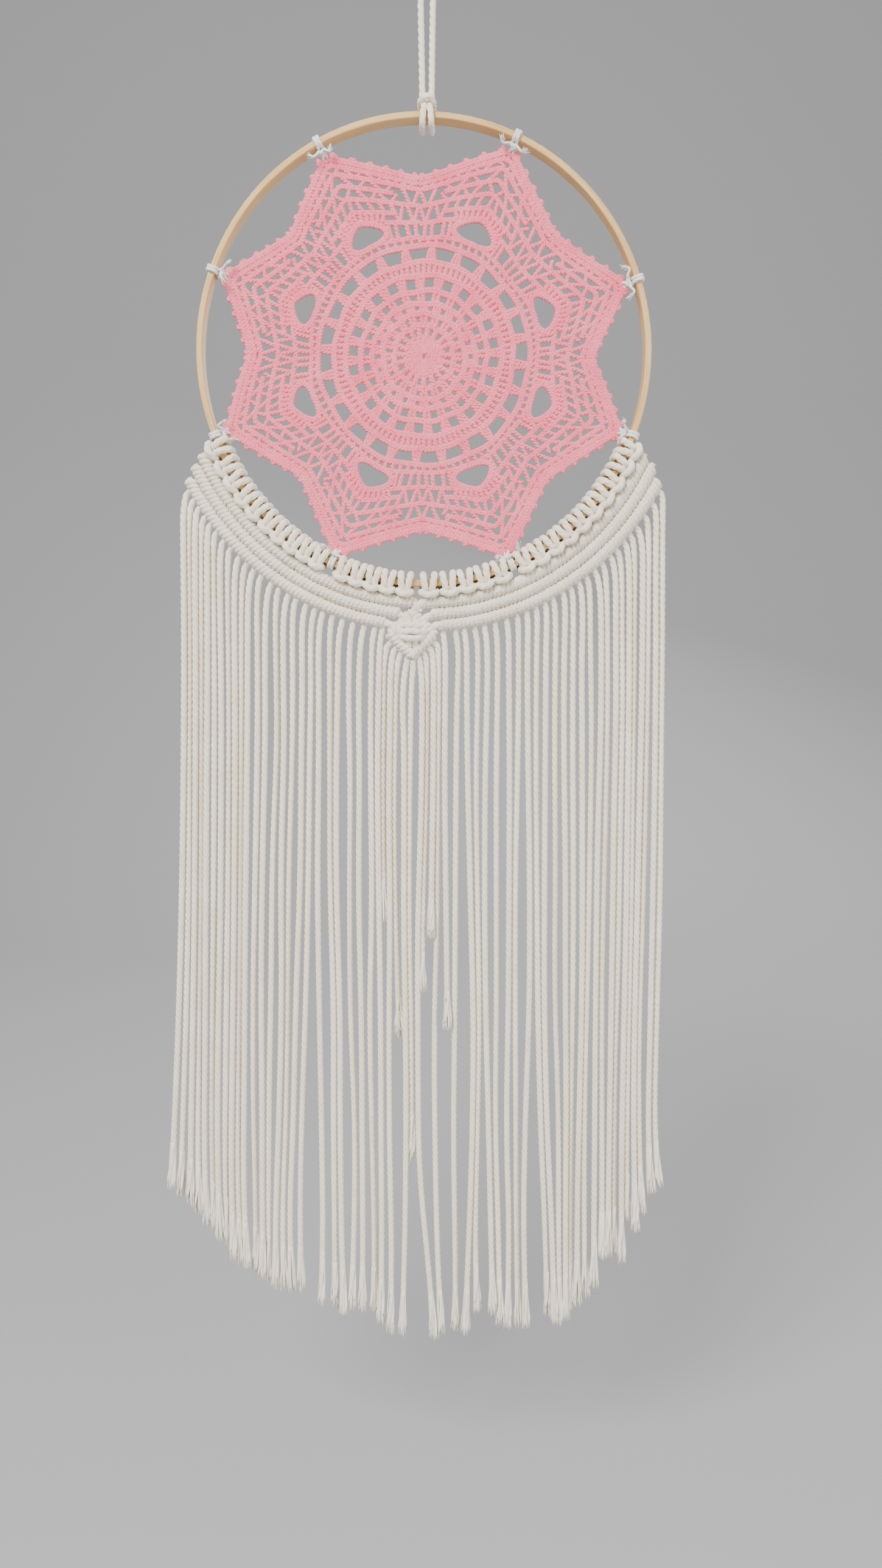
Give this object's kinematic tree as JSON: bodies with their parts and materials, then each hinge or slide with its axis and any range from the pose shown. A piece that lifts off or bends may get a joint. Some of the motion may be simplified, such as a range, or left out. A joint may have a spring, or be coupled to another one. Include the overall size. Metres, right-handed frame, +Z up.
{
  "type": "dream catcher",
  "caption": "Hanging dream catcher: a bamboo ring with a pink crocheted star web, a knotted natural cotton band and a long cord fringe.",
  "frame": {"origin": "the hanging point: top of the nail, inside the bight of the loop", "axes": "+Z up, front towards -Y, +X to the viewer's right"},
  "size_m": [0.2422, 0.0144, 0.6384],
  "materials": {
    "bamboo": "satin",
    "cotton_cord": "matte",
    "pink_yarn": "matte",
    "white_thread": "matte"
  },
  "bodies": {
    "hanger": {"hanging_loop": "cotton_cord"},
    "knot": {"hanging_knot": "cotton_cord"},
    "ring": {"hoop": "bamboo", "crochet_web": "pink_yarn", "web_tie_1": "white_thread", "web_tie_2": "white_thread", "web_tie_3": "white_thread", "web_tie_4": "white_thread", "web_tie_5": "white_thread", "web_tie_6": "white_thread", "web_tie_7": "white_thread", "web_tie_8": "white_thread", "lark_heads_left": "cotton_cord", "lark_heads_right": "cotton_cord", "hitch_row_left_1": "cotton_cord", "hitch_row_left_2": "cotton_cord", "hitch_row_left_3": "cotton_cord", "hitch_row_right_1": "cotton_cord", "hitch_row_right_2": "cotton_cord", "hitch_row_right_3": "cotton_cord", "holding_cord_left_1": "cotton_cord", "holding_cord_left_2": "cotton_cord", "holding_cord_left_3": "cotton_cord", "holding_cord_right_1": "cotton_cord", "holding_cord_right_2": "cotton_cord", "holding_cord_right_3": "cotton_cord", "diamond_frame": "cotton_cord", "diamond_centre_knot": "cotton_cord"},
    "fringe_01": {"tail_pair_01": "cotton_cord"},
    "fringe_02": {"tail_pair_02": "cotton_cord"},
    "fringe_03": {"tail_pair_03": "cotton_cord"},
    "fringe_04": {"tail_pair_04": "cotton_cord"},
    "fringe_05": {"tail_pair_05": "cotton_cord"},
    "fringe_06": {"tail_pair_06": "cotton_cord"},
    "fringe_07": {"tail_pair_07": "cotton_cord"},
    "fringe_08": {"tail_pair_08": "cotton_cord"},
    "fringe_09": {"tail_pair_09": "cotton_cord"},
    "fringe_10": {"tail_pair_10": "cotton_cord"},
    "fringe_11": {"tail_pair_11": "cotton_cord"},
    "fringe_12": {"tail_pair_12": "cotton_cord"},
    "fringe_13": {"tail_pair_13": "cotton_cord"},
    "fringe_14": {"tail_pair_14": "cotton_cord"},
    "fringe_15": {"tail_pair_15": "cotton_cord"},
    "fringe_16": {"tail_pair_16": "cotton_cord"},
    "fringe_17": {"tail_pair_17": "cotton_cord"},
    "fringe_18": {"tail_pair_18": "cotton_cord"},
    "fringe_19": {"tail_pair_19": "cotton_cord"},
    "fringe_20": {"tail_pair_20": "cotton_cord"},
    "fringe_21": {"tail_pair_21": "cotton_cord"},
    "fringe_22": {"tail_pair_22": "cotton_cord"},
    "fringe_23": {"tail_pair_23": "cotton_cord"},
    "fringe_24": {"tail_pair_24": "cotton_cord"},
    "fringe_25": {"tail_pair_25": "cotton_cord"},
    "fringe_26": {"tail_pair_26": "cotton_cord"},
    "fringe_27": {"tail_pair_27": "cotton_cord"},
    "fringe_28": {"tail_pair_28": "cotton_cord"},
    "fringe_29": {"tail_pair_29": "cotton_cord"},
    "fringe_30": {"tail_pair_30": "cotton_cord"}
  },
  "joints": [
    {"name": "loop_twist", "type": "hinge", "parent": "hanger", "child": "knot", "pos_m": [0, 0, -0.0595], "axis": [0, 0, 1], "range_deg": [-180, 180]},
    {"name": "ring_tilt", "type": "hinge", "parent": "knot", "child": "ring", "pos_m": [0, 0, -0.0664], "axis": [1, 0, 0], "range_deg": [-10, 10]},
    {"name": "tail_swing_01", "type": "hinge", "parent": "ring", "child": "fringe_01", "pos_m": [0, 0, -0.22545], "axis": [1, 0, 0], "range_deg": [-30, 30]},
    {"name": "tail_swing_02", "type": "hinge", "parent": "ring", "child": "fringe_02", "pos_m": [0, 0, -0.23295], "axis": [1, 0, 0], "range_deg": [-30, 30]},
    {"name": "tail_swing_03", "type": "hinge", "parent": "ring", "child": "fringe_03", "pos_m": [0, 0, -0.23985], "axis": [1, 0, 0], "range_deg": [-30, 30]},
    {"name": "tail_swing_04", "type": "hinge", "parent": "ring", "child": "fringe_04", "pos_m": [0, 0, -0.2471], "axis": [1, 0, 0], "range_deg": [-30, 30]},
    {"name": "tail_swing_05", "type": "hinge", "parent": "ring", "child": "fringe_05", "pos_m": [0, 0, -0.25415], "axis": [1, 0, 0], "range_deg": [-30, 30]},
    {"name": "tail_swing_06", "type": "hinge", "parent": "ring", "child": "fringe_06", "pos_m": [0, 0, -0.2598], "axis": [1, 0, 0], "range_deg": [-30, 30]},
    {"name": "tail_swing_07", "type": "hinge", "parent": "ring", "child": "fringe_07", "pos_m": [0, 0, -0.2657], "axis": [1, 0, 0], "range_deg": [-30, 30]},
    {"name": "tail_swing_08", "type": "hinge", "parent": "ring", "child": "fringe_08", "pos_m": [0, 0, -0.27055], "axis": [1, 0, 0], "range_deg": [-30, 30]},
    {"name": "tail_swing_09", "type": "hinge", "parent": "ring", "child": "fringe_09", "pos_m": [0, 0, -0.27495], "axis": [1, 0, 0], "range_deg": [-30, 30]},
    {"name": "tail_swing_10", "type": "hinge", "parent": "ring", "child": "fringe_10", "pos_m": [0, 0, -0.27835], "axis": [1, 0, 0], "range_deg": [-30, 30]},
    {"name": "tail_swing_11", "type": "hinge", "parent": "ring", "child": "fringe_11", "pos_m": [0, 0, -0.28155], "axis": [1, 0, 0], "range_deg": [-30, 30]},
    {"name": "tail_swing_12", "type": "hinge", "parent": "ring", "child": "fringe_12", "pos_m": [0, 0, -0.2841], "axis": [1, 0, 0], "range_deg": [-30, 30]},
    {"name": "tail_swing_13", "type": "hinge", "parent": "ring", "child": "fringe_13", "pos_m": [0, 0, -0.28795], "axis": [1, 0, 0], "range_deg": [-30, 30]},
    {"name": "tail_swing_14", "type": "hinge", "parent": "ring", "child": "fringe_14", "pos_m": [0, 0, -0.2951], "axis": [1, 0, 0], "range_deg": [-30, 30]},
    {"name": "tail_swing_15", "type": "hinge", "parent": "ring", "child": "fringe_15", "pos_m": [0, 0, -0.3007], "axis": [1, 0, 0], "range_deg": [-30, 30]},
    {"name": "tail_swing_16", "type": "hinge", "parent": "ring", "child": "fringe_16", "pos_m": [0, 0, -0.298], "axis": [1, 0, 0], "range_deg": [-30, 30]},
    {"name": "tail_swing_17", "type": "hinge", "parent": "ring", "child": "fringe_17", "pos_m": [0, 0, -0.2921], "axis": [1, 0, 0], "range_deg": [-30, 30]},
    {"name": "tail_swing_18", "type": "hinge", "parent": "ring", "child": "fringe_18", "pos_m": [0, 0, -0.28625], "axis": [1, 0, 0], "range_deg": [-30, 30]},
    {"name": "tail_swing_19", "type": "hinge", "parent": "ring", "child": "fringe_19", "pos_m": [0, 0, -0.285], "axis": [1, 0, 0], "range_deg": [-30, 30]},
    {"name": "tail_swing_20", "type": "hinge", "parent": "ring", "child": "fringe_20", "pos_m": [0, 0, -0.28305], "axis": [1, 0, 0], "range_deg": [-30, 30]},
    {"name": "tail_swing_21", "type": "hinge", "parent": "ring", "child": "fringe_21", "pos_m": [0, 0, -0.28], "axis": [1, 0, 0], "range_deg": [-30, 30]},
    {"name": "tail_swing_22", "type": "hinge", "parent": "ring", "child": "fringe_22", "pos_m": [0, 0, -0.2765], "axis": [1, 0, 0], "range_deg": [-30, 30]},
    {"name": "tail_swing_23", "type": "hinge", "parent": "ring", "child": "fringe_23", "pos_m": [0, 0, -0.27255], "axis": [1, 0, 0], "range_deg": [-30, 30]},
    {"name": "tail_swing_24", "type": "hinge", "parent": "ring", "child": "fringe_24", "pos_m": [0, 0, -0.26785], "axis": [1, 0, 0], "range_deg": [-30, 30]},
    {"name": "tail_swing_25", "type": "hinge", "parent": "ring", "child": "fringe_25", "pos_m": [0, 0, -0.2629], "axis": [1, 0, 0], "range_deg": [-30, 30]},
    {"name": "tail_swing_26", "type": "hinge", "parent": "ring", "child": "fringe_26", "pos_m": [0, 0, -0.2572], "axis": [1, 0, 0], "range_deg": [-30, 30]},
    {"name": "tail_swing_27", "type": "hinge", "parent": "ring", "child": "fringe_27", "pos_m": [0, 0, -0.2509], "axis": [1, 0, 0], "range_deg": [-30, 30]},
    {"name": "tail_swing_28", "type": "hinge", "parent": "ring", "child": "fringe_28", "pos_m": [0, 0, -0.24435], "axis": [1, 0, 0], "range_deg": [-30, 30]},
    {"name": "tail_swing_29", "type": "hinge", "parent": "ring", "child": "fringe_29", "pos_m": [0, 0, -0.2368], "axis": [1, 0, 0], "range_deg": [-30, 30]},
    {"name": "tail_swing_30", "type": "hinge", "parent": "ring", "child": "fringe_30", "pos_m": [0, 0, -0.22625], "axis": [1, 0, 0], "range_deg": [-30, 30]}
  ]
}
